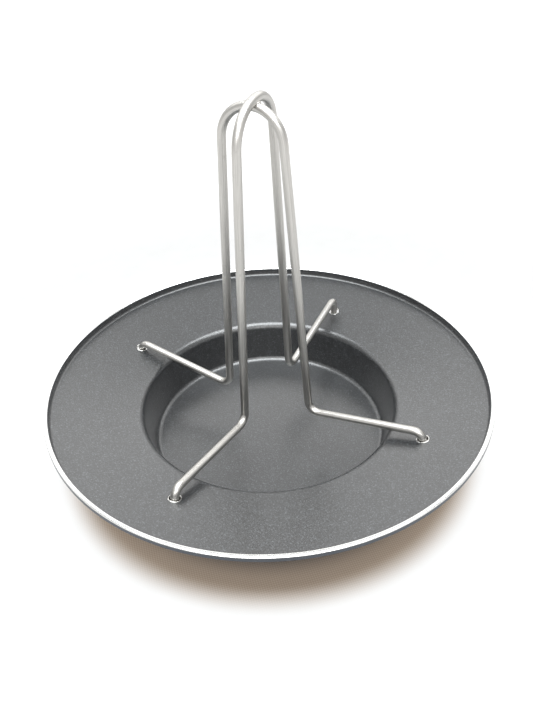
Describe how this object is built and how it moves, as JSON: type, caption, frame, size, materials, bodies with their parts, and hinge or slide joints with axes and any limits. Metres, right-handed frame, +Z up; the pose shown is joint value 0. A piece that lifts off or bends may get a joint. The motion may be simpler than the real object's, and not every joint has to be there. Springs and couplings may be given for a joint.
{
  "type": "vertical poultry roaster",
  "caption": "Round deep-welled roasting pan with a wide sloping flange and bright rim, and a lift-off stand of crossed wire hoops whose feet plug into the flange.",
  "frame": {"origin": "centre of the underside of the pan's floor, on the surface the pan stands on", "axes": "+Z up along the pan's axis; the lower hoop lies in the XZ plane and the upper hoop in the YZ plane"},
  "size_m": [0.28, 0.28, 0.2183],
  "materials": {
    "coated_steel": "semi-matt speckled grey non-stick coating",
    "bright_trim": "bright polished stainless",
    "stainless_wire": "satin drawn stainless wire"
  },
  "bodies": {
    "pan": {"pan_shell": "coated_steel", "rim_ring": "bright_trim"},
    "stand": {"lower_hoop": "stainless_wire", "upper_hoop": "stainless_wire", "crossing_weld": "stainless_wire"}
  },
  "joints": [
    {"name": "stand_lift", "type": "slide", "parent": "pan", "child": "stand", "axis": [0, 0, 1], "range_m": [0, 0.06]}
  ]
}
